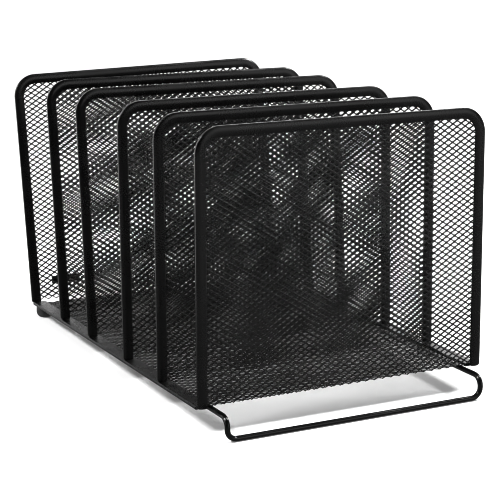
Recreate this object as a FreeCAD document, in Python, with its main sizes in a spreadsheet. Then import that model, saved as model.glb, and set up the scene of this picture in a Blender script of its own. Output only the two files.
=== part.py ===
"""Desktop file sorter: a five-section steel rack of six expanded-mesh dividers on a wire stand.

The rack is drawn in its own base frame and then stood on the table. In the base frame x runs
across the rack, y runs back from the front face of the front divider, and z runs up from the
lower ends of that divider's legs. Two flat folded rails join the legs along the sides and grip the
mesh floor. A bent wire stand lifts the front and two rubber feet hold up the rear, so the base
slopes gently down to the back. The finished part has +Z up, the front towards -Y, and its origin
on the table at the centre of the rack's outline.
"""

import FreeCAD, Part
import math
import os

import Sketcher

Vector = FreeCAD.Vector

# Driving dimensions in millimetres and degrees: (alias, value, meaning).
DRIVING_SIZES = [
    ("rack_width", 209.55, "outside of the left legs to outside of the right legs"),
    ("divider_height", 172.5, "lower ends of the outer legs to the top of a divider, along it"),
    ("gap_one", 56.3, "front divider to second divider, face to face along the base"),
    ("gap_two", 52.5, "second divider to third divider"),
    ("gap_three", 60.0, "third divider to fourth divider"),
    ("gap_four", 49.9, "fourth divider to fifth divider"),
    ("gap_five", 56.6, "fifth divider to rear divider"),
    ("lean_one", 1.9, "backward lean of the front divider from the base's upright"),
    ("lean_two", 2.3, "backward lean of the second divider"),
    ("lean_three", 3.0, "backward lean of the third divider"),
    ("lean_four", 6.5, "backward lean of the fourth divider"),
    ("lean_five", 7.7, "backward lean of the fifth divider"),
    ("lean_six", 10.6, "backward lean of the rear divider"),
    ("rear_drop", 0.8, "how much shorter the rear divider is than the front one"),
    ("rear_skew", 3.9, "right end of the rear divider's top above its left end"),
    ("strip_face", 7.0, "width of the folded border strip, seen from the front"),
    ("strip_depth", 3.3, "front-to-back thickness of the folded border strip"),
    ("strip_wall", 0.8, "sheet thickness of the border strip"),
    ("corner_radius", 17.0, "outer radius of a divider's top corners"),
    ("fold_radius", 0.7, "rounding along the strip's folded outer edge"),
    ("leg_end_radius", 1.5, "rounding of the outer corner at the bottom of a leg"),
    ("mesh_sheet", 0.9, "overall thickness of the expanded mesh"),
    ("mesh_play", 0.1, "clearance between the mesh and the strip that grips it"),
    ("raw_edge", 0.7, "end of a leg to the cut lower edge of the mesh between the legs"),
    ("rail_sheet", 0.6, "sheet thickness of a side rail"),
    ("rail_face", 9.3, "width of a rail's flat top"),
    ("rail_height", 2.2, "thickness of the folded rail"),
    ("rail_drop", 0.8, "how far a rail hangs below the ends of the outer legs"),
    ("rail_fold", 0.5, "rounding along a rail's folded outer side"),
    ("rail_corner", 4.0, "rounding of a rail's inner corner at the rear"),
    ("rail_gap", 0.6, "gap between a rail's ends and the outer dividers"),
    ("floor_overlap", 3.5, "how far the mesh floor reaches into each rail"),
    ("wire_size", 3.5, "diameter of the stand's wire"),
    ("wire_inset", 11.475, "outside of the legs to the centre of a side run of the wire"),
    ("wire_reach", 16.4, "front divider's face to the centre of the wire in front of it"),
    ("wire_drop", 13.6, "centre of the side runs to the centre of the front run"),
    ("wire_bend", 6.5, "centre-line radius of the wire's bends"),
    ("wire_back", 250.0, "front divider's face to the rear ends of the wire"),
    ("foot_radius", 6.5, "radius of a rubber foot"),
    ("foot_dome", 3.6, "rounding of the foot round its sole"),
    ("foot_inset", 6.775, "outside of the legs to the centre of a foot"),
    ("foot_setback", 267.5, "front divider's face to the centre of a foot"),
    ("foot_play", 0.02, "clearance between a foot and the rail above it"),
    ("tag_length", 22.5, "length of the blank tag on the rear divider"),
    ("tag_height", 5.6, "height of that tag"),
    ("tag_sheet", 0.6, "thickness of that tag"),
    ("tag_inset", 17.4, "outside of the left leg to the near end of the tag"),
    ("tag_lift", 12.4, "underside of the rear divider to the lower edge of the tag"),
    ("base_tilt", 1.75, "slope of the base, down towards the rear"),
]

ORDINALS = ["one", "two", "three", "four", "five", "six"]
DIVIDER_NAMES = ["front", "second", "third", "fourth", "fifth", "rear"]

# Expressions shared by several pieces, all read from the sheet.
HALF_WIDTH = "Sizes.rack_width / 2"
RAIL_TOP = "(Sizes.rail_height - Sizes.rail_drop)"
FLOOR_UNDERSIDE = "(Sizes.rail_height / 2 - Sizes.rail_drop - Sizes.mesh_sheet / 2)"
WIRE_DEPTH = f"(Sizes.wire_size / 2 + Sizes.wire_drop - {FLOOR_UNDERSIDE})"
BASE_LIFT = (
    f"(Sizes.wire_size / 2 + {WIRE_DEPTH} * cos(Sizes.base_tilt)"
    " - Sizes.wire_reach * sin(Sizes.base_tilt))"
)
FRONT_Y = (
    f"(-Sizes.wire_reach * cos(Sizes.base_tilt) - {WIRE_DEPTH} * sin(Sizes.base_tilt)"
    " - Sizes.wire_size / 2)"
)
REAR_FACE_Y = " + ".join(f"Sizes.gap_{word}" for word in ORDINALS[:5])
REAR_SLOPE = "(Sizes.lean_six + Sizes.base_tilt)"
REAR_HEIGHT = "Sizes.divider_height - Sizes.rear_drop"
REAR_Y = (
    f"(({REAR_FACE_Y}) * cos(Sizes.base_tilt) + Sizes.fold_radius"
    f" + (Sizes.strip_depth - Sizes.fold_radius) * cos{REAR_SLOPE}"
    f" + ({REAR_HEIGHT} + Sizes.rear_skew / 2 - Sizes.fold_radius) * sin{REAR_SLOPE})"
)
CENTRE_Y = f"(({FRONT_Y} + {REAR_Y}) / 2)"
BASE = (
    f"placement(vector(0; -{CENTRE_Y}; {BASE_LIFT}); "
    "rotation(vector(1; 0; 0); -Sizes.base_tilt))"
)


def make_sheet(doc):
    """Put the driving dimensions in a spreadsheet, one alias to a row."""
    sheet = doc.addObject("Spreadsheet::Sheet", "Sizes")
    for row, (alias, value, meaning) in enumerate(DRIVING_SIZES, start=1):
        sheet.set(f"A{row}", meaning)
        sheet.set(f"B{row}", str(value))
        sheet.setAlias(f"B{row}", alias)
    doc.recompute()
    return sheet


def add_body(doc, label):
    """Add an empty body whose label names its node."""
    body = doc.addObject("PartDesign::Body", label)
    body.Label = label
    return body


def add_sketch(body, name, plane_role):
    """Add a sketch on one of the body's own origin planes."""
    sketch = body.newObject("Sketcher::SketchObject", name)
    plane = next(item for item in body.Origin.OriginFeatures if item.Role == plane_role)
    sketch.AttachmentSupport = [(plane, "")]
    sketch.MapMode = "FlatFace"
    return sketch


def name_constraint(sketch, constraint, name, expression):
    """Add a dimension to a sketch and bind it to an expression."""
    index = sketch.addConstraint(constraint)
    sketch.renameConstraint(index, name)
    sketch.setExpression(f"Constraints.{name}", expression)


def polygon_sketch(body, name, plane_role, corners):
    """Sketch a closed polygon; each corner is (x expression, y expression)."""
    sketch = add_sketch(body, name, plane_role)
    draw_polygon(sketch, "corner", corners)
    return sketch


def draw_polygon(sketch, prefix, corners):
    """Draw one closed polygon in a sketch and bind every corner to its two expressions."""
    first = sketch.GeometryCount
    count = len(corners)
    for step in range(count):
        turn = 2 * math.pi * step / count
        after = 2 * math.pi * (step + 1) / count
        start = Vector(math.cos(turn), math.sin(turn), 0)
        end = Vector(math.cos(after), math.sin(after), 0)
        sketch.addGeometry(Part.LineSegment(start, end))
    for step in range(count):
        following = first + (step + 1) % count
        sketch.addConstraint(Sketcher.Constraint("Coincident", first + step, 2, following, 1))
    for step, (across, along) in enumerate(corners):
        line = first + step
        start = sketch.Geometry[line].StartPoint
        name_constraint(
            sketch,
            Sketcher.Constraint("DistanceX", -1, 1, line, 1, start.x),
            f"{prefix}_{step}_across",
            across,
        )
        name_constraint(
            sketch,
            Sketcher.Constraint("DistanceY", -1, 1, line, 1, start.y),
            f"{prefix}_{step}_along",
            along,
        )


def arch_sketch(body, name, half_width, height, radius, skew="0"):
    """Sketch an arch: straight sides and a top joined by equal arcs, its right end higher by skew."""
    sketch = add_sketch(body, name, "XZ_Plane")
    draft_width, draft_height, draft_radius = 100.0, 170.0, 10.0
    shoulder = draft_height - draft_radius
    arc_x = draft_width - draft_radius
    right_arc = Part.Circle(Vector(arc_x, shoulder, 0), Vector(0, 0, 1), draft_radius)
    left_arc = Part.Circle(Vector(-arc_x, shoulder, 0), Vector(0, 0, 1), draft_radius)
    outline = [
        Part.LineSegment(Vector(-draft_width, 0, 0), Vector(draft_width, 0, 0)),
        Part.LineSegment(Vector(draft_width, 0, 0), Vector(draft_width, shoulder, 0)),
        Part.ArcOfCircle(right_arc, 0, math.pi / 2),
        Part.LineSegment(Vector(arc_x, draft_height, 0), Vector(-arc_x, draft_height, 0)),
        Part.ArcOfCircle(left_arc, math.pi / 2, math.pi),
        Part.LineSegment(Vector(-draft_width, shoulder, 0), Vector(-draft_width, 0, 0)),
    ]
    bottom, right, arc_right, top, arc_left, left = sketch.addGeometry(outline)
    sketch.addConstraint(
        [
            Sketcher.Constraint("Coincident", bottom, 2, right, 1),
            Sketcher.Constraint("Tangent", right, 2, arc_right, 1),
            Sketcher.Constraint("Tangent", arc_right, 2, top, 1),
            Sketcher.Constraint("Tangent", top, 2, arc_left, 1),
            Sketcher.Constraint("Tangent", arc_left, 2, left, 1),
            Sketcher.Constraint("Coincident", left, 2, bottom, 1),
            Sketcher.Constraint("Vertical", right),
            Sketcher.Constraint("Vertical", left),
            Sketcher.Constraint("Horizontal", bottom),
            Sketcher.Constraint("Equal", arc_right, arc_left),
            Sketcher.Constraint("Symmetric", bottom, 1, bottom, 2, -1, 1),
        ]
    )
    name_constraint(
        sketch,
        Sketcher.Constraint("DistanceX", bottom, 1, bottom, 2, 2 * draft_width),
        "width",
        f"2 * ({half_width})",
    )
    for side, arc, sign in (("left", arc_left, "-"), ("right", arc_right, "+")):
        name_constraint(
            sketch,
            Sketcher.Constraint("DistanceY", -1, 1, arc, 3, shoulder),
            f"{side}_shoulder",
            f"{height} - ({radius}) {sign} ({skew}) / 2",
        )
    name_constraint(
        sketch, Sketcher.Constraint("Radius", arc_right, draft_radius), "radius", radius
    )
    return sketch


def pad_middle(body, name, sketch, length):
    """Pad a sketch equally to both sides of its plane."""
    pad = body.newObject("PartDesign::Pad", name)
    pad.Profile = sketch
    pad.SideType = "Symmetric"
    pad.setExpression("Length", length)
    return pad


def pocket_middle(body, name, sketch, length):
    """Cut a sketch equally to both sides of its plane."""
    pocket = body.newObject("PartDesign::Pocket", name)
    pocket.Profile = sketch
    pocket.SideType = "Symmetric"
    pocket.setExpression("Length", length)
    return pocket


def pad_up(body, name, sketch, length):
    """Pad a sketch from its plane towards the +X, +Y or +Z side of the body."""
    pad = body.newObject("PartDesign::Pad", name)
    pad.Profile = sketch
    pad.setExpression("Length", length)
    plane_role = sketch.AttachmentSupport[0][0].Role
    pad.Reversed = plane_role == "XZ_Plane"
    return pad


def round_edges(body, name, base, chosen, radius):
    """Fillet the edges of a feature that a test picks out."""
    names = [
        f"Edge{number}"
        for number, edge in enumerate(base.Shape.Edges, start=1)
        if chosen(edge)
    ]
    fillet = body.newObject("PartDesign::Fillet", name)
    fillet.Base = (base, names)
    fillet.setExpression("Radius", radius)
    return fillet


def divider_place(position, inner):
    """Placement expression of a divider: on the base, leaning back about its rear lower edge."""
    steps = [f"Sizes.gap_{word}" for word in ORDINALS[:position]]
    along = " + ".join(steps) if steps else "0"
    lean = f"Sizes.lean_{ORDINALS[position]}"
    seat = RAIL_TOP if inner else "0"
    raise_by = f"{seat} + Sizes.strip_depth * sin({lean})"
    return (
        f"{BASE} * placement(vector(0; {along}; {raise_by}); rotation(vector(1; 0; 0); -{lean}))"
        " * placement(vector(0; Sizes.strip_depth / 2; 0); rotation(vector(1; 0; 0); 0))"
    )


def is_rear(position):
    """Whether a place in the row of dividers is the last one."""
    return position == len(DIVIDER_NAMES) - 1


def frame_height(position):
    """Height of a divider's frame: an inner one stands on top of the rails."""
    if position == 0:
        return "Sizes.divider_height"
    if is_rear(position):
        return REAR_HEIGHT
    return f"Sizes.divider_height - {RAIL_TOP}"


def divider_skew(position):
    """Slope of a divider's top: only the rear divider's is out of level."""
    return "Sizes.rear_skew" if is_rear(position) else "0"


def divider_frame(doc, sheet, label, position):
    """Inverted-U border: one strip folded round the mesh's edge, open towards the mesh."""
    inner = position > 0 and not is_rear(position)
    height = frame_height(position)
    body = add_body(doc, label)
    skew = divider_skew(position)
    outer = arch_sketch(body, "Outer", HALF_WIDTH, height, "Sizes.corner_radius", skew)
    pad_middle(body, "Strip", outer, "Sizes.strip_depth")
    window = arch_sketch(
        body,
        "Window",
        f"{HALF_WIDTH} - Sizes.strip_face",
        f"{height} - Sizes.strip_face",
        "Sizes.corner_radius - Sizes.strip_face",
        skew,
    )
    opening = pocket_middle(body, "Opening", window, "2 * Sizes.strip_depth")
    doc.recompute()

    half_width = sheet.rack_width / 2
    half_depth = sheet.strip_depth / 2
    seat = sheet.rail_height - sheet.rail_drop if inner else 0
    drop = sheet.rear_drop if is_rear(position) else 0
    top = sheet.divider_height - seat - drop
    radius = sheet.corner_radius
    reach = half_width - radius
    rise = sheet.rear_skew if is_rear(position) else 0
    close = 1e-4

    def on_outer_edge(point):
        centre_x = min(max(point.x, -reach), reach)
        centre_z = top - radius + rise * centre_x / (2 * reach)
        if point.z < centre_z:
            return abs(abs(point.x) - half_width) < close
        if abs(point.x) > reach + close:
            from_centre = math.hypot(point.x - centre_x, point.z - centre_z)
            return abs(from_centre - radius) < close
        from_centres = (point.z - centre_z) * math.cos(math.atan2(rise, 2 * reach))
        return abs(from_centres - radius) < close

    def leg_end(edge):
        across = all(
            abs(abs(v.Point.x) - half_width) < close and abs(v.Point.z) < close
            for v in edge.Vertexes
        )
        return across and edge.BoundBox.YLength > sheet.mesh_sheet

    def folded_edge(edge):
        middle = edge.valueAt((edge.FirstParameter + edge.LastParameter) / 2)
        flat = edge.BoundBox.YLength < close
        on_face = abs(abs(middle.y) - half_depth) < close
        return flat and on_face and on_outer_edge(middle) and middle.z > sheet.leg_end_radius

    ends = round_edges(body, "LegEnds", opening, leg_end, "Sizes.leg_end_radius")
    doc.recompute()
    round_edges(body, "Fold", ends, folded_edge, "Sizes.fold_radius")
    groove = arch_sketch(
        body,
        "Groove",
        f"{HALF_WIDTH} - Sizes.strip_wall",
        f"{height} - Sizes.strip_wall",
        "Sizes.corner_radius - Sizes.strip_wall",
        skew,
    )
    pocket_middle(body, "Slot", groove, "Sizes.mesh_sheet + 2 * Sizes.mesh_play")
    body.setExpression("Placement", divider_place(position, inner))
    return body


def divider_mesh(doc, label, position):
    """Mesh sheet of one divider, standing in the slot of its frame."""
    inner = position > 0 and not is_rear(position)
    body = add_body(doc, label)
    outline = arch_sketch(
        body,
        "Outline",
        f"{HALF_WIDTH} - Sizes.strip_wall - Sizes.mesh_play",
        f"{frame_height(position)} - Sizes.strip_wall - Sizes.mesh_play - Sizes.raw_edge",
        "Sizes.corner_radius - Sizes.strip_wall - Sizes.mesh_play",
        divider_skew(position),
    )
    pad_middle(body, "Sheet", outline, "Sizes.mesh_sheet")
    body.setExpression(
        "Placement",
        f"{divider_place(position, inner)}"
        " * placement(vector(0; 0; Sizes.raw_edge); rotation(vector(1; 0; 0); 0))",
    )
    return body


def floor_mesh(doc):
    """Mesh floor between the outer dividers, with its sides gripped in both rails."""
    body = add_body(doc, "floor_mesh")
    reach = f"({HALF_WIDTH} - Sizes.rail_face + Sizes.floor_overlap)"
    near = "Sizes.strip_depth + Sizes.rail_gap"
    far = f"{REAR_FACE_Y} - Sizes.rail_gap"
    outline = polygon_sketch(
        body,
        "Outline",
        "XY_Plane",
        [(f"-{reach}", near), (reach, near), (reach, far), (f"-{reach}", far)],
    )
    pad_up(body, "Sheet", outline, "Sizes.mesh_sheet")
    body.setExpression(
        "Placement",
        f"{BASE} * placement(vector(0; 0; {FLOOR_UNDERSIDE}); rotation(vector(1; 0; 0); 0))",
    )
    return body


def side_rail(doc, sheet, label, side):
    """Rail along one side: a flat strip folded double, open inwards where it grips the floor."""
    body = add_body(doc, label)
    sign = "-" if side < 0 else ""
    outside = f"{sign}({HALF_WIDTH})"
    fold = f"{sign}({HALF_WIDTH} - Sizes.rail_sheet)"
    inside = f"{sign}({HALF_WIDTH} - Sizes.rail_face)"
    bottom = "-Sizes.rail_drop"
    slot_bottom = "Sizes.rail_sheet - Sizes.rail_drop"
    slot_top = f"{RAIL_TOP} - Sizes.rail_sheet"
    start = "Sizes.strip_depth + Sizes.rail_gap"
    end = f"{REAR_FACE_Y} - Sizes.rail_gap"
    section = polygon_sketch(
        body,
        "Section",
        "XZ_Plane",
        [
            (outside, bottom),
            (outside, RAIL_TOP),
            (inside, RAIL_TOP),
            (inside, slot_top),
            (fold, slot_top),
            (fold, slot_bottom),
            (inside, slot_bottom),
            (inside, bottom),
        ],
    )
    section.setExpression(
        "AttachmentOffset",
        f"placement(vector(0; 0; -({start})); rotation(vector(1; 0; 0); 0))",
    )
    strip = pad_up(body, "Strip", section, f"{end} - ({start})")
    doc.recompute()

    half_width = sheet.rack_width / 2
    levels = (-sheet.rail_drop, sheet.rail_height - sheet.rail_drop)
    close = 1e-4

    def folded_edge(edge):
        return all(
            abs(abs(v.Point.x) - half_width) < close
            and min(abs(v.Point.z - level) for level in levels) < close
            for v in edge.Vertexes
        ) and edge.BoundBox.YLength > sheet.rail_face

    def inner_corner(edge):
        upright = edge.BoundBox.ZLength > close and edge.BoundBox.YLength < close
        inner = all(
            abs(abs(v.Point.x) - half_width + sheet.rail_face) < close for v in edge.Vertexes
        )
        return upright and inner and edge.BoundBox.YMax > sheet.foot_setback

    folded = round_edges(body, "Fold", strip, folded_edge, "Sizes.rail_fold")
    doc.recompute()
    round_edges(body, "RearCorner", folded, inner_corner, "Sizes.rail_corner")
    body.setExpression("Placement", BASE)
    return body


def bent_wire(corners, radius):
    """Wire through the corners, with each inner corner rounded to the bend radius."""
    edges = []
    start = corners[0]
    for before, corner, after in zip(corners, corners[1:], corners[2:]):
        arriving = (corner - before).normalize()
        leaving = (after - corner).normalize()
        half_turn = arriving.getAngle(leaving) / 2
        cut = radius * math.tan(half_turn)
        bend_start = corner - arriving * cut
        bend_end = corner + leaving * cut
        inward = (leaving - arriving).normalize()
        bend_middle = corner + inward * (radius / math.cos(half_turn) - radius)
        edges.append(Part.makeLine(start, bend_start))
        edges.append(Part.Arc(bend_start, bend_middle, bend_end).toShape())
        start = bend_end
    edges.append(Part.makeLine(start, corners[-1]))
    return Part.Wire(edges)


def wire_stand(doc, sheet):
    """One wire: two side runs under the floor, bent down in front and joined along the table."""
    across = sheet.rack_width / 2 - sheet.wire_inset
    high = sheet.rail_height / 2 - sheet.rail_drop - sheet.mesh_sheet / 2 - sheet.wire_size / 2
    low = high - sheet.wire_drop
    front = -sheet.wire_reach
    spine = doc.addObject("Part::Feature", "StandSpine")
    spine.Shape = bent_wire(
        [
            Vector(-across, sheet.wire_back, high),
            Vector(-across, front, high),
            Vector(-across, front, low),
            Vector(across, front, low),
            Vector(across, front, high),
            Vector(across, sheet.wire_back, high),
        ],
        sheet.wire_bend,
    )
    spine.setExpression("Placement", BASE)
    profile = doc.addObject("Part::Circle", "StandProfile")
    profile.setExpression("Radius", "Sizes.wire_size / 2")
    profile.setExpression(
        "Placement",
        f"{BASE} * placement(vector(-({HALF_WIDTH} - Sizes.wire_inset); Sizes.wire_back;"
        f" {FLOOR_UNDERSIDE} - Sizes.wire_size / 2); rotation(vector(1; 0; 0); 90))",
    )
    stand = doc.addObject("Part::Sweep", "wire_stand")
    stand.Label = "wire_stand"
    stand.Sections = [profile]
    stand.Spine = (spine, [f"Edge{number}" for number in range(1, len(spine.Shape.Edges) + 1)])
    stand.Solid = True
    stand.Frenet = False
    return stand


def rubber_foot(doc, label, side):
    """Round rubber foot stuck under a rail: a level domed sole and a top cut to the rail's slope."""
    body = add_body(doc, label)
    middle = (
        f"({BASE_LIFT} - Sizes.rail_drop / cos(Sizes.base_tilt)"
        " - Sizes.foot_setback * sin(Sizes.base_tilt) - Sizes.foot_play)"
    )
    rise = "Sizes.foot_radius * tan(Sizes.base_tilt)"
    above = f"2 * {middle}"
    profile = polygon_sketch(
        body,
        "Profile",
        "XZ_Plane",
        [
            ("0", "0"),
            ("Sizes.foot_radius", "0"),
            ("Sizes.foot_radius", above),
            ("0", above),
        ],
    )
    turned = body.newObject("PartDesign::Revolution", "Turned")
    turned.Profile = profile
    turned.ReferenceAxis = (profile, ["V_Axis"])
    turned.Angle = 360
    doc.recompute()
    close = 1e-4

    def sole_edge(edge):
        return edge.BoundBox.ZMax < close and edge.BoundBox.XLength > close

    round_edges(body, "Dome", turned, sole_edge, "Sizes.foot_dome")
    doc.recompute()
    slope = polygon_sketch(
        body,
        "Slope",
        "YZ_Plane",
        [
            ("-Sizes.foot_radius * 2", f"{middle} + 2 * {rise}"),
            ("Sizes.foot_radius * 2", f"{middle} - 2 * {rise}"),
            ("Sizes.foot_radius * 2", f"2 * {above}"),
            ("-Sizes.foot_radius * 2", f"2 * {above}"),
        ],
    )
    pocket_middle(body, "SlopedTop", slope, "4 * Sizes.foot_radius")
    sign = "-" if side < 0 else ""
    body.setExpression(
        "Placement",
        f"placement(vector({sign}({HALF_WIDTH} - Sizes.foot_inset);"
        f" Sizes.foot_setback * cos(Sizes.base_tilt) - {CENTRE_Y}; 0);"
        " rotation(vector(1; 0; 0); 0))",
    )
    return body


def rear_tag(doc):
    """Blank plate against the back of the rear mesh, near its lower left corner."""
    body = add_body(doc, "rear_tag")
    near = f"-({HALF_WIDTH} - Sizes.tag_inset)"
    far = f"-({HALF_WIDTH} - Sizes.tag_inset - Sizes.tag_length)"
    top = "Sizes.tag_lift + Sizes.tag_height"
    outline = polygon_sketch(
        body,
        "Outline",
        "XZ_Plane",
        [(near, "Sizes.tag_lift"), (far, "Sizes.tag_lift"), (far, top), (near, top)],
    )
    outline.setExpression(
        "AttachmentOffset",
        "placement(vector(0; 0; -Sizes.mesh_sheet / 2); rotation(vector(1; 0; 0); 0))",
    )
    pad_up(body, "Plate", outline, "Sizes.tag_sheet")
    body.setExpression("Placement", divider_place(len(DIVIDER_NAMES) - 1, False))
    return body


def check_and_write(doc, nodes):
    """Stop on any failed object or bad solid, then write one STEP file for each node."""
    for item in doc.Objects:
        if "Invalid" in item.State or "Error" in item.State:
            raise RuntimeError(f"{item.Label} did not compute: {item.State}")
    for node in nodes:
        if node.Shape.isNull() or not node.Shape.isValid():
            raise RuntimeError(f"{node.Label} has no valid shape")
        if len(node.Shape.Solids) != 1:
            raise RuntimeError(f"{node.Label} is not one solid")
    os.makedirs("parts", exist_ok=True)
    for node in nodes:
        node.Shape.exportStep(f"parts/{node.Label}.step")
        box = node.Shape.BoundBox
        print(
            f"{node.Label}: {node.Shape.Volume / 1000:.2f} cm3,"
            f" x {box.XMin:.2f}..{box.XMax:.2f}, y {box.YMin:.2f}..{box.YMax:.2f},"
            f" z {box.ZMin:.2f}..{box.ZMax:.2f}"
        )


def main():
    doc = FreeCAD.newDocument("file_sorter")
    sheet = make_sheet(doc)
    nodes = []
    for position, name in enumerate(DIVIDER_NAMES):
        nodes.append(divider_frame(doc, sheet, f"{name}_divider_frame", position))
        nodes.append(divider_mesh(doc, f"{name}_divider_mesh", position))
    nodes.append(floor_mesh(doc))
    nodes.append(side_rail(doc, sheet, "left_rail", -1))
    nodes.append(side_rail(doc, sheet, "right_rail", 1))
    nodes.append(wire_stand(doc, sheet))
    nodes.append(rubber_foot(doc, "left_rear_foot", -1))
    nodes.append(rubber_foot(doc, "right_rear_foot", 1))
    nodes.append(rear_tag(doc))
    doc.recompute()
    check_and_write(doc, nodes)


main()
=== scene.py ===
"""Looks of a desktop file sorter: six mesh dividers in folded strip borders on a raised mesh base.

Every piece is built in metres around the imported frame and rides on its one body.
"""

import math

import bmesh
import bpy
import numpy as np
from mathutils import Matrix, Vector


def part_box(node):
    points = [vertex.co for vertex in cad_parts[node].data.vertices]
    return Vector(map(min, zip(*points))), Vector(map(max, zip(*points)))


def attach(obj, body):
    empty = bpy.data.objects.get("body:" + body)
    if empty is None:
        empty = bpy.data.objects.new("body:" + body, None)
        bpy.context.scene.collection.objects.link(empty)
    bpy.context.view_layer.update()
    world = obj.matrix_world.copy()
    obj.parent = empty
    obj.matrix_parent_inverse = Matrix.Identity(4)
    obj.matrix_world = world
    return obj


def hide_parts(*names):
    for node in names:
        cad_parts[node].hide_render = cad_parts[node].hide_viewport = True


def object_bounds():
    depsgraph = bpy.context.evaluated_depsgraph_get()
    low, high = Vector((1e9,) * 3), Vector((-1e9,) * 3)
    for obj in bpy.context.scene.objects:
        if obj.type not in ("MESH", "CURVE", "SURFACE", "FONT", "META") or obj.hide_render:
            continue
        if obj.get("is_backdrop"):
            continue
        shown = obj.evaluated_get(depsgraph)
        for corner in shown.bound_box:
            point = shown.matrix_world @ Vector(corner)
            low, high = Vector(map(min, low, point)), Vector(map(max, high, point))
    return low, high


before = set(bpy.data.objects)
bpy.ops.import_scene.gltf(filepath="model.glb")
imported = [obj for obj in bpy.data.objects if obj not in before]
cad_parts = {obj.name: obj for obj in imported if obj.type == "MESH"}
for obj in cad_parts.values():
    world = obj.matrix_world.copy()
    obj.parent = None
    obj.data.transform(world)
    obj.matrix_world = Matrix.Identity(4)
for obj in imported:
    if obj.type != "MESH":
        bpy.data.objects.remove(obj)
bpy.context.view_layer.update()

MM = 0.001
BODY = "root"
DIVIDERS = ["front", "second", "third", "fourth", "fifth", "rear"]

# Expanded mesh: one diamond is LONG_WAY across and SHORT_WAY high, centre of bond to centre of bond.
LONG_WAY = 6.2 * MM
SHORT_WAY = 4.07 * MM
STRAND_WIDTH = 0.9 * MM
STRAND_SHEET = 0.42 * MM
STRAND_ROUNDING = 0.09 * MM
STRAND_TWIST = 0.24 * MM
BLUNT_SIDE_TIPS = 0.02
BLUNT_UPPER_TIPS = 0.08
DIVIDER_SEGMENTS = 3
FLOOR_SEGMENTS = 2

# A sheet's cut is a share of a diamond: it shifts the pattern and says how far the sheet is drawn out.
CUT_STEP = 0.618
FLOOR_CUT = 0.5
PITCH_SPREAD = 0.03

# Folded border strip, as a section seen from the end of a leg; turns in degrees.
STRIP_FACE = 7.0 * MM
STRIP_WALL = 1.05 * MM
FOLD_RADIUS = 0.45 * MM
FOLD_TURN = 80
FOLD_STEPS = 5
FACE_CROWN = 0.75 * MM
HEM_ROUNDING = 0.3 * MM
HEM_TURN = 75
HEM_STEPS = 3
CROWN_SHARES = (0.7, 0.35, 0, -0.35, -0.7)
CORNER_RADIUS = 17.0 * MM
CORNER_STATIONS = 17
LEG_END_RADIUS = 1.5 * MM
LEG_END_STATIONS = 6
STATION_SPACING = 3.0 * MM

# Faint unevenness along a strip: how far its edge leans, and the lengths of its two waves per radian.
RIPPLE = 0.05 * MM
RIPPLE_LONG = 9.0 * MM
RIPPLE_SHORT = 4.3 * MM

# Wire stand, sheet edges and feet; turns and bends in degrees.
WIRE_RADIUS = 1.75 * MM
WIRE_BEND = 6.5 * MM
WIRE_END_SETBACK = 0.9 * WIRE_RADIUS
WIRE_END_TURNS = (10, 35, 60)
WIRE_SIDES = 24
WIRE_BEND_STEPS = 12
SHEET_ROUNDING = 0.2 * MM
ROUNDING_SEGMENTS = 3
SHARP_BEND = 40
FLAT_BEND = 1
MERGE_DISTANCE = MM / 1000
FOOT_DOME = 3.6 * MM
FOOT_SOLE_SHARES = (0.1, 0.6)
FOOT_DOME_STEPS = 8
FOOT_SIDES = 48

# Black coats: a SCALE is noise in features to the metre, a HEIGHT is how far its bumps stand up.
COAT_DARK = (0.001, 0.001, 0.001)
COAT_LIGHT = (0.002, 0.002, 0.002)
CLOUD_SCALE = 60
SHEEN_SCALE = 45
SPECKLE_SCALE = 1600
SPECKLE = 0.03
PEEL_SCALE = 900
PEEL_HEIGHT = 0.06 * MM

# Rubber of the feet, in the same terms, and its roughness where it is smoothest and roughest.
RUBBER_DARK = (0.012, 0.012, 0.012)
RUBBER_LIGHT = (0.03, 0.03, 0.03)
RUBBER_SMOOTH = 0.62
RUBBER_ROUGH = 0.8
BLOOM_SCALE = 300
DULLNESS_SCALE = 500
GRAIN_SCALE = 2500
GRAIN_HEIGHT = 0.05 * MM
GRAIN = 0.4

# Brightness of the studio around the sorter, where 1 is white.
SEEN_WHITE = 1.03
FILL_GLOW = 0.35
ROOM_GLOW = 0.03
SWEEP_GLOW = 2.4
WALL_GLOW = 1.2

# Where the mirrored room changes, as parts of a direction's unit vector.
SWEEP_BEHIND = (-0.1, 0.3)
SWEEP_HEIGHT = (0.28, 0.45)
WALL_DIRECTION = (0.5, -0.83, 0.26)
WALL_EDGE = (0.9, 0.985)

# Floor: a matt sheet that glows more further out; spans are metres from the origin.
FLOOR_HALF = 8.0
FLOOR_GREY = (0.86, 0.86, 0.86, 1)
FLOOR_ROUGHNESS = 0.9
FLOOR_GLOSS = 0.1
FLOOR_LIFT_NEAR = 0.12
FLOOR_LIFT_FAR = 0.62
FLOOR_LIFT_SPAN = (1.2, 2.2)
FLOOR_SHEEN_NEAR = 0.24
FLOOR_SHEEN_FAR = 0.4
FLOOR_SHEEN_SPAN = (0.3, 0.8)
FLOOR_SHEEN_BEHIND = 2.0
FLOOR_BEHIND_SPAN = (0.0, 0.7)

# Two soft boxes, mirror images of each other, in metres and watts.
BOX_ASIDE = 1.35
BOX_BACK = -0.2
BOX_HEIGHT = 1.5
BOX_AIM = (0, 0, 0.05)
BOX_SIDE = 0.4
BOX_POWER = 43

# Camera: angles in degrees, aim as an offset from the middle of the sorter's box.
CAMERA_AZIMUTH = 28.74
CAMERA_ELEVATION = 14.88
CAMERA_ROLL = 1.57
CAMERA_DISTANCE = 1.1647
CAMERA_AIM = Vector((3.8, -9.85, -22.2)) * MM
CAMERA_SENSOR = 36.0
CAMERA_LENS = 120.1
VIEW_GAMMA = 0.9
PIXEL_FILTER = 1.0


# ---------------------------------------------------------------- frames and mesh helpers


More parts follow.
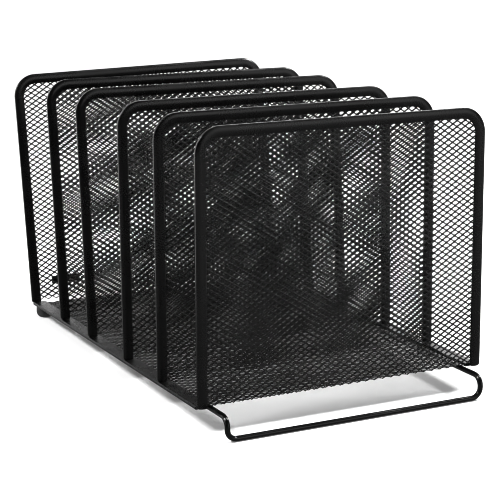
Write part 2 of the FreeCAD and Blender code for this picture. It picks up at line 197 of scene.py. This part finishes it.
def node_points(node):
    """Vertices of a CAD node, as rows of x, y, z."""
    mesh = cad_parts[node].data
    points = np.empty(len(mesh.vertices) * 3)
    mesh.vertices.foreach_get("co", points)
    return points.reshape(-1, 3)


def plate_frame(node):
    """Frame of a flat node: X across, Y along the plate, Z out of its front or top; and its size."""
    points = node_points(node)
    flat = points[:, 1:] - points[:, 1:].mean(axis=0)
    along_y, along_z = np.linalg.svd(flat, full_matrices=False)[2][0]
    along = Vector((0, along_y, along_z))
    if along.y + along.z < 0:
        along.negate()
    across = Vector((1, 0, 0))
    out = across.cross(along)
    axes = Matrix((across, along, out))
    local = points @ np.array(axes).T
    low, high = local.min(axis=0), local.max(axis=0)
    corner = Vector((0, low[1], (low[2] + high[2]) / 2))
    place = axes.transposed().to_4x4()
    place.translation = axes.transposed() @ corner
    return place, Vector(high - low)


def to_world(place, points):
    """Rows of local points in the row frame."""
    turn = np.array(place.to_3x3())
    return points @ turn.T + np.array(place.translation)


def top_rise(node, place, half_width):
    """How much higher the right end of a divider's top is than its left end, along the plate."""
    points = node_points(node)
    heights = points @ np.array(place.to_3x3().col[1])
    shoulder = half_width - CORNER_RADIUS
    return heights[points[:, 0] > shoulder].max() - heights[points[:, 0] < -shoulder].max()


def make_piece(name, points, faces, node, material):
    """Turn points and faces into a smooth piece that stands for a CAD node and rides on the body."""
    mesh = bpy.data.meshes.new(name)
    mesh.from_pydata(points.tolist(), [], faces)
    shape = bmesh.new()
    shape.from_mesh(mesh)
    bmesh.ops.recalc_face_normals(shape, faces=shape.faces)
    shape.to_mesh(mesh)
    shape.free()
    mesh.shade_smooth()
    piece = bpy.data.objects.new(name, mesh)
    bpy.context.scene.collection.objects.link(piece)
    mesh.materials.append(material)
    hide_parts(node)
    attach(piece, BODY)
    return piece


def even_normals(piece):
    """Let the large faces set the shading, so that flat metal looks flat up to its rounded edges."""
    modifier = piece.modifiers.new("EvenNormals", "WEIGHTED_NORMAL")
    modifier.keep_sharp = True


def sweep_faces(stations, around):
    """Faces of a closed tube of rings, each ring holding the same number of points."""
    faces = []
    for ring in range(stations - 1):
        for step in range(around):
            following = (step + 1) % around
            near, far = ring * around, (ring + 1) * around
            faces.append((near + step, near + following, far + following, far + step))
    last = (stations - 1) * around
    faces.append(tuple(reversed(range(around))))
    faces.append(tuple(range(last, last + around)))
    return faces


# ---------------------------------------------------------------- expanded mesh


def diamond_rings(long_way, short_way, segments):
    """One diamond: its outline along the strand centres, and the edge of its opening."""
    tips = [(long_way / 2, 0), (0, short_way / 2), (-long_way / 2, 0), (0, -short_way / 2)]
    slope = math.atan2(short_way, long_way)
    open_across = long_way / 2 - STRAND_WIDTH / 2 / math.sin(slope)
    open_up = short_way / 2 - STRAND_WIDTH / 2 / math.cos(slope)
    holes = [(open_across, 0), (0, open_up), (-open_across, 0), (0, -open_up)]
    blunt = [1 - BLUNT_SIDE_TIPS, 1 - BLUNT_UPPER_TIPS] * 2
    outline, opening = [], []
    for side in range(4):
        following = (side + 1) % 4
        for step in range(segments):
            share = step / segments
            outline.append(np.array(tips[side]) * (1 - share) + np.array(tips[following]) * share)
            edge = np.array(holes[side]) * (1 - share) + np.array(holes[following]) * share
            opening.append(edge * (blunt[side] if step == 0 else 1))
    return np.array(outline), np.array(opening)


def diamond_centres(long_way, short_way, half_width, height, rise, radius, cut):
    """Centres of the diamonds that fit inside a sheet with rounded upper corners.

    The cut shifts them by a share of a diamond, as each sheet comes from its own place in the roll.
    """
    columns = int(half_width / (long_way / 2))
    rows = int(height / (short_way / 2))
    column, row = np.meshgrid(np.arange(-columns, columns + 1), np.arange(1, rows + 1))
    kept = (column + row) % 2 == 1
    across = (column[kept] + 2 * (cut % 1) - 1) * long_way / 2
    up = (row[kept] + 2 * cut % 1) * short_way / 2
    beyond_side = np.abs(across) - half_width + radius
    beyond_top = up - height + radius - rise * across / (2 * half_width)
    outside = np.hypot(np.maximum(beyond_side, 0), np.maximum(beyond_top, 0)) - radius
    outside += np.minimum(np.maximum(beyond_side, beyond_top), 0)
    fits = outside <= -long_way / 2
    return np.column_stack([across[fits], up[fits]])


def merge_points(points, faces):
    """Join points that coincide."""
    steps = np.round(points / MERGE_DISTANCE).astype(np.int64)
    _, first, index = np.unique(steps, axis=0, return_index=True, return_inverse=True)
    return points[first], index.reshape(-1)[faces]


def open_sides(faces, count):
    """Outline edges that only one diamond uses, as pairs of front points and pairs of back points."""
    front = faces[:count][:, [0, 1]]
    back = faces[2 * count :][:, [3, 2]]
    ordered = np.sort(front, axis=1)
    _, index, uses = np.unique(ordered, axis=0, return_inverse=True, return_counts=True)
    single = uses[index.reshape(-1)] == 1
    return front[single], back[single]


def sheet_points(centres, rings):
    """Points of every diamond, ring by ring; a ring is a flat loop and its height off mid-sheet."""
    layers = []
    for ring, depth in rings:
        flat = centres[:, None, :] + ring[None, :, :]
        layers.append(np.dstack([flat, np.broadcast_to(depth, flat.shape[:2])]))
    return np.stack(layers, axis=1).reshape(-1, 3)


def sheet_bands(count, rings, around):
    """Faces between each ring and the next, for a number of diamonds, one array for each band."""
    start = np.arange(count)[:, None] * rings * around
    step = np.arange(around)[None, :]
    following = (step + 1) % around
    bands = []
    for band in range(rings - 1):
        near = start + band * around
        far = near + around
        corners = [near + step, near + following, far + following, far + step]
        bands.append(np.stack(corners, axis=2).reshape(-1, 4))
    return bands


def expanded_sheet(name, node, material, radius, segments, cut, twisted):
    """Expanded metal; a positive twist turns each strand's lower or near edge out of the sheet."""
    place, size = plate_frame(node)
    draw = PITCH_SPREAD * (2 * (cut % 1) - 1)
    long_way, short_way = LONG_WAY * (1 - draw), SHORT_WAY * (1 + draw)
    outline, opening = diamond_rings(long_way, short_way, segments)
    rise = top_rise(node, place, size.x / 2) if radius else 0.0
    centres = diamond_centres(
        long_way, short_way, size.x / 2, size.y - rise / 2, rise, radius, cut
    )
    face = STRAND_SHEET / 2
    shoulder = face - STRAND_ROUNDING
    twist = twisted * opening[:, 1] / opening[:, 1].max()
    rings = [
        (outline, face),
        (opening, shoulder + twist),
        (opening, twist - shoulder),
        (outline, -face),
    ]
    bands = sheet_bands(len(centres), len(rings), len(outline))
    points, faces = merge_points(sheet_points(centres, rings), np.concatenate(bands))
    front, back = open_sides(faces, len(bands[0]))
    walls = np.column_stack([front[:, 1], front[:, 0], back[:, 0], back[:, 1]])
    faces = np.concatenate([faces, walls]).tolist()
    return make_piece(name, to_world(place, points), faces, node, material)


# ---------------------------------------------------------------- folded border strip


def arc(centre, radius, start, end, steps):
    """Points along an arc, in degrees, both ends included."""
    turns = np.radians(np.linspace(start, end, steps + 1))
    return [(centre[0] + radius * math.cos(t), centre[1] + radius * math.sin(t)) for t in turns]


def strip_section(depth):
    """Closed U section with crowned faces: inset from the outer edge, height above mid-plane."""
    half = depth / 2
    gap = half - STRIP_WALL
    rim = half - FACE_CROWN
    middle = STRIP_FACE / 2
    hem = (STRIP_FACE - HEM_ROUNDING, rim - HEM_ROUNDING)
    upper = arc(hem, HEM_ROUNDING, 0, HEM_TURN, HEM_STEPS)
    for share in CROWN_SHARES:
        upper.append((middle * (1 + share), half - FACE_CROWN * share**2))
    upper += arc((FOLD_RADIUS, rim - FOLD_RADIUS), FOLD_RADIUS, FOLD_TURN, 180, FOLD_STEPS)
    lower = [(inset, -height) for inset, height in reversed(upper)]
    inside = [(STRIP_FACE, -gap), (STRIP_WALL, -gap), (STRIP_WALL, gap), (STRIP_FACE, gap)]
    return np.array(upper + lower + inside)


def arch_stations(half_width, height, rise):
    """Points up one leg, over the top and down the other, with the inward direction at each."""
    reach = half_width - CORNER_RADIUS
    skew = math.atan2(rise, 2 * reach)
    ends = LEG_END_RADIUS * (1 - np.cos(np.linspace(0, math.pi / 2, LEG_END_STATIONS)))

    def leg(side):
        shoulder = height - CORNER_RADIUS + side * rise / 2
        steps = np.linspace(LEG_END_RADIUS, shoulder, int(shoulder / STATION_SPACING))
        return [(side * half_width, up, -side, 0) for up in np.concatenate([ends, steps[1:]])]

    def corner(side, start, end):
        centre = (side * reach, height - CORNER_RADIUS + side * rise / 2)
        stations = []
        for turn in np.linspace(start, end, CORNER_STATIONS):
            out, up = math.cos(turn), math.sin(turn)
            across = centre[0] + CORNER_RADIUS * out
            stations.append((across, centre[1] + CORNER_RADIUS * up, -out, -up))
        return stations

    left_corner = corner(-1, math.pi, math.pi / 2 + skew)
    right_corner = corner(1, math.pi / 2 + skew, 0)
    top = np.linspace(left_corner[-1], right_corner[0], int(2 * reach / STATION_SPACING))[1:-1]
    return leg(-1) + left_corner[1:] + list(top) + right_corner + leg(1)[-2::-1]


def leg_end_trim(up):
    """How far the strip's outer edge is cut back at a height, where a leg's end is rounded."""
    if up >= LEG_END_RADIUS:
        return 0.0
    return LEG_END_RADIUS - math.sqrt(LEG_END_RADIUS**2 - (LEG_END_RADIUS - up) ** 2)


def folded_strip(name, node, material, order):
    """Border of one divider: the U section swept up, over and down, faintly uneven like real sheet."""
    place, size = plate_frame(node)
    section = strip_section(size.z)
    rise = top_rise(node, place, size.x / 2)
    stations = arch_stations(size.x / 2, size.y - rise / 2, rise)
    rings = []
    travelled = 0.0
    previous = np.array(stations[0][:2])
    for across, up, inward, down in stations:
        here = np.array([across, up])
        travelled += np.linalg.norm(here - previous)
        previous = here
        trim = leg_end_trim(up)
        inset = trim + section[:, 0] * (STRIP_FACE - trim) / STRIP_FACE
        wave = math.sin(travelled / RIPPLE_LONG + order)
        wave += math.sin(travelled / RIPPLE_SHORT + 2 * order)
        lean = RIPPLE / 2 * wave * section[:, 0] / STRIP_FACE
        ring = np.column_stack(
            [across + inset * inward, up + inset * down, section[:, 1] + lean]
        )
        rings.append(ring)
    points = to_world(place, np.concatenate(rings))
    faces = sweep_faces(len(rings), len(section))
    piece = make_piece(name, points, faces, node, material)
    even_normals(piece)
    return piece


# ---------------------------------------------------------------- wire stand, rails, feet and tag


def bent_path(corners):
    """Points along the wire's straight runs, joined by round bends."""
    path = [corners[0]]
    for before, corner, after in zip(corners, corners[1:], corners[2:]):
        arriving = (corner - before).normalized()
        leaving = (after - corner).normalized()
        half_turn = arriving.angle(leaving) / 2
        start = corner - arriving * WIRE_BEND * math.tan(half_turn)
        centre = start + (leaving - arriving * arriving.dot(leaving)).normalized() * WIRE_BEND
        axis = arriving.cross(leaving)
        for step in range(WIRE_BEND_STEPS + 1):
            turn = Matrix.Rotation(2 * half_turn * step / WIRE_BEND_STEPS, 3, axis)
            path.append(centre + turn @ (start - centre))
    path.append(corners[-1])
    return path


def ring_points(centre, first, second, radius, sides):
    """Points of a circle, given two directions across it."""
    turns = [2 * math.pi * step / sides for step in range(sides)]
    return [centre + (first * math.cos(t) + second * math.sin(t)) * radius for t in turns]


def round_wire(path):
    """Rings of a round wire along a path, closed in to a rounded point at each end."""
    rings = []
    side = Vector((1, 0, 0))
    for index, point in enumerate(path):
        before = path[max(index - 1, 0)]
        after = path[min(index + 1, len(path) - 1)]
        along = (after - before).normalized()
        side = (side - along * side.dot(along)).normalized()
        rings.append((point, side.copy(), along.cross(side), along))
    closing = [
        (WIRE_RADIUS * math.cos(turn), WIRE_RADIUS * math.sin(turn))
        for turn in np.radians(WIRE_END_TURNS)
    ]
    points = []
    point, first, second, along = rings[0]
    for beyond, radius in closing:
        points += ring_points(point - along * beyond, first, second, radius, WIRE_SIDES)
    for point, first, second, _ in rings:
        points += ring_points(point, first, second, WIRE_RADIUS, WIRE_SIDES)
    point, first, second, along = rings[-1]
    for beyond, radius in reversed(closing):
        points += ring_points(point + along * beyond, first, second, radius, WIRE_SIDES)
    return np.array(points), sweep_faces(len(points) // WIRE_SIDES, WIRE_SIDES)


def wire_stand(material):
    """Front stand: side runs under the rails, bent down and joined along the table."""
    place, _ = plate_frame("floor_mesh")
    turn = place.to_3x3()
    points = node_points("wire_stand") @ np.array(turn)
    low, high = points.min(axis=0), points.max(axis=0)
    left, right = low[0] + WIRE_RADIUS, high[0] - WIRE_RADIUS
    front, back = low[1] + WIRE_RADIUS, high[1] - WIRE_END_SETBACK
    under, over = low[2] + WIRE_RADIUS, high[2] - WIRE_RADIUS
    corners = [
        (left, back, over),
        (left, front, over),
        (left, front, under),
        (right, front, under),
        (right, front, over),
        (right, back, over),
    ]
    points, faces = round_wire(bent_path([turn @ Vector(corner) for corner in corners]))
    return make_piece("bent_wire_stand", points, faces, "wire_stand", material)


def softened_copy(name, node, material, rounding):
    """A sheet-metal node with its cut edges and bends rounded as bending and coating leave them."""
    shape = bmesh.new()
    shape.from_mesh(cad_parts[node].data)
    bmesh.ops.remove_doubles(shape, verts=shape.verts, dist=MERGE_DISTANCE)
    bmesh.ops.dissolve_limit(
        shape, angle_limit=math.radians(FLAT_BEND), verts=shape.verts, edges=shape.edges
    )
    shape.verts.ensure_lookup_table()
    index = {vert: number for number, vert in enumerate(shape.verts)}
    points = np.array([vert.co for vert in shape.verts])
    faces = [tuple(index[vert] for vert in face.verts) for face in shape.faces]
    shape.free()
    piece = make_piece(name, points, faces, node, material)
    bevel = piece.modifiers.new("Rounding", "BEVEL")
    bevel.width = rounding
    bevel.segments = ROUNDING_SEGMENTS
    bevel.limit_method = "ANGLE"
    bevel.angle_limit = math.radians(SHARP_BEND)
    even_normals(piece)
    return piece


def rubber_foot(name, node, material):
    """Turned rubber foot with a domed sole, its top cut to the slope of the rail above."""
    low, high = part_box(node)
    centre = (low + high) / 2
    radius = (high.x - low.x) / 2
    along = plate_frame("floor_mesh")[0].to_3x3().col[1]
    slope = along.z / along.y
    block = high.z + radius * slope
    core = radius - FOOT_DOME
    profile = [(core * share, 0.0) for share in FOOT_SOLE_SHARES]
    profile += arc((core, FOOT_DOME), FOOT_DOME, -90, 0, FOOT_DOME_STEPS)
    profile += [(radius, block - 2 * SHEET_ROUNDING), (radius - SHEET_ROUNDING, block)]
    profile += [(radius / 2, block)]
    points = []
    for out, up in profile:
        middle = Vector((centre.x, centre.y, up))
        backwards = Vector((0, 1, slope if up > FOOT_DOME else 0))
        points += ring_points(middle, Vector((1, 0, 0)), backwards, out, FOOT_SIDES)
    faces = sweep_faces(len(profile), FOOT_SIDES)
    piece = make_piece(name, np.array(points), faces, node, material)
    even_normals(piece)
    return piece


# ---------------------------------------------------------------- materials


class Nodes:
    """The shader nodes of a material or a world, added and linked in one call each."""

    def __init__(self, owner, coordinates):
        owner.use_nodes = True
        self.owner = owner
        self.tree = owner.node_tree
        self.surface = self.tree.nodes.get("Principled BSDF")
        self.place = self.add("TexCoord").outputs[coordinates]

    def add(self, kind, **settings):
        node = self.tree.nodes.new("ShaderNode" + kind)
        for key, value in settings.items():
            setattr(node, key, value)
        return node

    def link(self, source, target):
        self.tree.links.new(source, target)

    def noise(self, scale, detail=2.0):
        """Noise of a given number of features to the metre."""
        node = self.add("TexNoise")
        node.inputs["Scale"].default_value = scale
        node.inputs["Detail"].default_value = detail
        self.link(self.place, node.inputs["Vector"])
        return node.outputs["Fac"]

    def spread(self, value, low, high, start=0.35, end=0.65, bend="LINEAR"):
        """Map a value between start and end to a range, held beyond its ends."""
        node = self.add("MapRange", interpolation_type=bend)
        node.inputs["From Min"].default_value = start
        node.inputs["From Max"].default_value = end
        node.inputs["To Min"].default_value = low
        node.inputs["To Max"].default_value = high
        self.link(value, node.inputs["Value"])
        return node.outputs["Result"]

    def join(self, operation, first, second):
        """Add or multiply two values."""
        node = self.add("Math", operation=operation)
        self.link(first, node.inputs[0])
        self.link(second, node.inputs[1])
        return node.outputs["Value"]

    def blend(self, share, first, second):
        """Mix two colours by a share."""
        node = self.add("Mix", data_type="RGBA")
        self.link(share, node.inputs["Factor"])
        node.inputs["A"].default_value = (*first, 1)
        node.inputs["B"].default_value = (*second, 1)
        return node.outputs["Result"]

    def bump(self, height, strength, distance):
        """Let a height stand up from the surface."""
        node = self.add("Bump")
        node.inputs["Strength"].default_value = strength
        node.inputs["Distance"].default_value = distance
        self.link(height, node.inputs["Height"])
        self.link(node.outputs["Normal"], self.surface.inputs["Normal"])

    def ray_mix(self, ray, otherwise, when):
        """Shader that is one thing to a kind of ray and another to the rest."""
        path = self.add("LightPath")
        mix = self.add("MixShader")
        self.link(path.outputs[ray], mix.inputs["Fac"])
        self.link(otherwise, mix.inputs[1])
        self.link(when, mix.inputs[2])
        return mix.outputs["Shader"]


def coated_steel(name, smooth, rough, peel, gloss=1.5):
    """Black coat on steel: cloudy colour and sheen, and a fine orange-peel skin."""
    nodes = Nodes(bpy.data.materials.new(name), "Object")
    nodes.surface.inputs["IOR"].default_value = gloss
    cloud = nodes.spread(nodes.noise(CLOUD_SCALE), 0, 1)
    nodes.link(nodes.blend(cloud, COAT_DARK, COAT_LIGHT), nodes.surface.inputs["Base Color"])
    sheen = nodes.spread(nodes.noise(SHEEN_SCALE, detail=3), smooth, rough)
    speckle = nodes.spread(nodes.noise(SPECKLE_SCALE), -SPECKLE, SPECKLE)
    nodes.link(nodes.join("ADD", sheen, speckle), nodes.surface.inputs["Roughness"])
    nodes.bump(nodes.noise(PEEL_SCALE, detail=3), peel, PEEL_HEIGHT)
    return nodes.owner


def foot_rubber():
    """Matt rubber with a dusty bloom and a fine moulded grain."""
    nodes = Nodes(bpy.data.materials.new("foot_rubber"), "Object")
    bloom = nodes.spread(nodes.noise(BLOOM_SCALE, detail=4), 0, 1)
    nodes.link(nodes.blend(bloom, RUBBER_DARK, RUBBER_LIGHT), nodes.surface.inputs["Base Color"])
    dullness = nodes.spread(nodes.noise(DULLNESS_SCALE), RUBBER_SMOOTH, RUBBER_ROUGH)
    nodes.link(dullness, nodes.surface.inputs["Roughness"])
    nodes.bump(nodes.noise(GRAIN_SCALE, detail=4), GRAIN, GRAIN_HEIGHT)
    return nodes.owner


# ---------------------------------------------------------------- stage, light and camera


def floor_white():
    """Matt white that glows a little to the camera further out, and mirrors as dark close by."""
    nodes = Nodes(bpy.data.materials.new("floor_white"), "Object")
    nodes.surface.inputs["Base Color"].default_value = FLOOR_GREY
    nodes.surface.inputs["Roughness"].default_value = FLOOR_ROUGHNESS
    nodes.surface.inputs["Specular IOR Level"].default_value = FLOOR_GLOSS
    matt = nodes.surface.outputs["BSDF"]

    length = nodes.add("VectorMath", operation="LENGTH")
    nodes.link(nodes.place, length.inputs[0])
    reach = length.outputs["Value"]
    lift = nodes.add("Emission")
    risen = nodes.spread(reach, FLOOR_LIFT_NEAR, FLOOR_LIFT_FAR, *FLOOR_LIFT_SPAN)
    nodes.link(risen, lift.inputs["Strength"])
    seen = nodes.add("AddShader")
    nodes.link(matt, seen.inputs[0])
    nodes.link(lift.outputs["Emission"], seen.inputs[1])

    split = nodes.add("SeparateXYZ")
    nodes.link(nodes.place, split.inputs["Vector"])
    mirrored = nodes.add("Emission")
    around = nodes.spread(reach, FLOOR_SHEEN_NEAR, FLOOR_SHEEN_FAR, *FLOOR_SHEEN_SPAN)
    behind = nodes.spread(split.outputs["Y"], 0, FLOOR_SHEEN_BEHIND, *FLOOR_BEHIND_SPAN)
    nodes.link(nodes.join("ADD", around, behind), mirrored.inputs["Strength"])

    seen_or_lit = nodes.ray_mix("Is Camera Ray", matt, seen.outputs["Shader"])
    whole = nodes.ray_mix("Is Glossy Ray", seen_or_lit, mirrored.outputs["Emission"])
    nodes.link(whole, nodes.tree.nodes["Material Output"].inputs["Surface"])
    return nodes.owner


def white_floor():
    """Large plain floor at table height, overexposed to white with a pale shadow."""
    mesh = bpy.data.meshes.new("floor")
    corners = [(-1, -1), (1, -1), (1, 1), (-1, 1)]
    points = [(across * FLOOR_HALF, back * FLOOR_HALF, 0) for across, back in corners]
    mesh.from_pydata(points, [], [(0, 1, 2, 3)])
    mesh.materials.append(floor_white())
    floor = bpy.data.objects.new("floor", mesh)
    bpy.context.scene.collection.objects.link(floor)
    floor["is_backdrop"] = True


def soft_box(name, place):
    """Square studio light that faces the sorter."""
    light = bpy.data.lights.new(name, "AREA")
    light.shape = "SQUARE"
    light.size = BOX_SIDE
    light.energy = BOX_POWER
    lamp = bpy.data.objects.new(name, light)
    lamp.location = place
    lamp.rotation_mode = "QUATERNION"
    lamp.rotation_quaternion = (Vector(BOX_AIM) - Vector(place)).to_track_quat("-Z", "Y")
    bpy.context.scene.collection.objects.link(lamp)


def mirrored_room(nodes):
    """Brightness that the metal mirrors: a white sweep low behind, a wall in front, and dark above."""
    split = nodes.add("SeparateXYZ")
    nodes.link(nodes.place, split.inputs["Vector"])
    towards_wall = nodes.add("VectorMath", operation="DOT_PRODUCT")
    towards_wall.inputs[1].default_value = Vector(WALL_DIRECTION).normalized()
    nodes.link(nodes.place, towards_wall.inputs[0])

    behind = nodes.spread(split.outputs["Y"], 0, SWEEP_GLOW, *SWEEP_BEHIND, "SMOOTHSTEP")
    low = nodes.spread(split.outputs["Z"], 1, 0, *SWEEP_HEIGHT, "SMOOTHSTEP")
    facing = towards_wall.outputs["Value"]
    wall = nodes.spread(facing, ROOM_GLOW, WALL_GLOW, *WALL_EDGE, "SMOOTHSTEP")
    return nodes.join("ADD", nodes.join("MULTIPLY", behind, low), wall)


def studio_world():
    """Surroundings: an even fill, white to the camera, and a room for reflections."""
    nodes = Nodes(bpy.data.worlds.new("studio"), "Generated")
    fill, seen, mirrored = (nodes.add("Background") for _ in range(3))
    for background in (fill, seen, mirrored):
        background.inputs["Color"].default_value = (1, 1, 1, 1)
    fill.inputs["Strength"].default_value = FILL_GLOW
    seen.inputs["Strength"].default_value = SEEN_WHITE
    nodes.link(mirrored_room(nodes), mirrored.inputs["Strength"])
    lit = nodes.ray_mix(
        "Is Glossy Ray", fill.outputs["Background"], mirrored.outputs["Background"]
    )
    whole = nodes.ray_mix("Is Camera Ray", lit, seen.outputs["Background"])
    nodes.link(whole, nodes.tree.nodes["World Output"].inputs["Surface"])
    bpy.context.scene.world = nodes.owner


def studio_light():
    """Studio surroundings and two soft boxes, high on either side."""
    studio_world()
    soft_box("left_box", (-BOX_ASIDE, BOX_BACK, BOX_HEIGHT))
    soft_box("right_box", (BOX_ASIDE, BOX_BACK, BOX_HEIGHT))


def photo_camera():
    """Camera at the photo's angle: to the left of the front, a little above."""
    low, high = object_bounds()
    aim = (low + high) / 2 + CAMERA_AIM
    azimuth, elevation = math.radians(CAMERA_AZIMUTH), math.radians(CAMERA_ELEVATION)
    looking = Vector(
        (
            math.sin(azimuth) * math.cos(elevation),
            math.cos(azimuth) * math.cos(elevation),
            -math.sin(elevation),
        )
    )
    data = bpy.data.cameras.new("photo_camera")
    data.sensor_width = CAMERA_SENSOR
    data.lens = CAMERA_LENS
    camera = bpy.data.objects.new("photo_camera", data)
    level = looking.to_track_quat("-Z", "Y").to_matrix()
    turned = level @ Matrix.Rotation(math.radians(CAMERA_ROLL), 3, "Z")
    place = Matrix.Translation(aim - looking * CAMERA_DISTANCE)
    camera.matrix_world = place @ turned.to_4x4()
    bpy.context.scene.collection.objects.link(camera)
    bpy.context.scene.camera = camera


def photo_look():
    """Contrast and sharpness of the picture; the engine and the samples stay as they are set."""
    scene = bpy.context.scene
    scene.view_settings.view_transform = "Standard"
    scene.view_settings.gamma = VIEW_GAMMA
    scene.cycles.filter_width = PIXEL_FILTER


# ---------------------------------------------------------------- assembly


def build_divider(name, order, strip_coat, mesh_coat):
    """One divider: its folded border and the mesh inside it."""
    folded_strip(f"{name}_folded_strip", f"{name}_divider_frame", strip_coat, order)
    expanded_sheet(
        f"{name}_expanded_mesh",
        f"{name}_divider_mesh",
        mesh_coat,
        radius=CORNER_RADIUS - STRIP_WALL,
        segments=DIVIDER_SEGMENTS,
        cut=order * CUT_STEP,
        twisted=STRAND_TWIST,
    )


def build_sorter():
    """Every visible piece of the sorter."""
    strip_coat = coated_steel("strip_coat", smooth=0.22, rough=0.32, peel=0.35)
    mesh_coat = coated_steel("mesh_coat", smooth=0.22, rough=0.32, peel=0.3, gloss=1.55)
    wire_coat = coated_steel("wire_coat", smooth=0.12, rough=0.18, peel=0.15)
    rubber = foot_rubber()
    for order, name in enumerate(DIVIDERS):
        build_divider(name, order, strip_coat, mesh_coat)
    expanded_sheet(
        "floor_expanded_mesh",
        "floor_mesh",
        mesh_coat,
        radius=0.0,
        segments=FLOOR_SEGMENTS,
        cut=FLOOR_CUT,
        twisted=-STRAND_TWIST,
    )
    for side in ("left", "right"):
        softened_copy(f"{side}_rail_strip", f"{side}_rail", strip_coat, SHEET_ROUNDING)
        rubber_foot(f"{side}_foot_rubber", f"{side}_rear_foot", rubber)
    softened_copy("blank_tag_plate", "rear_tag", strip_coat, SHEET_ROUNDING / 2)
    wire_stand(wire_coat)


build_sorter()
white_floor()
studio_light()
photo_camera()
photo_look()
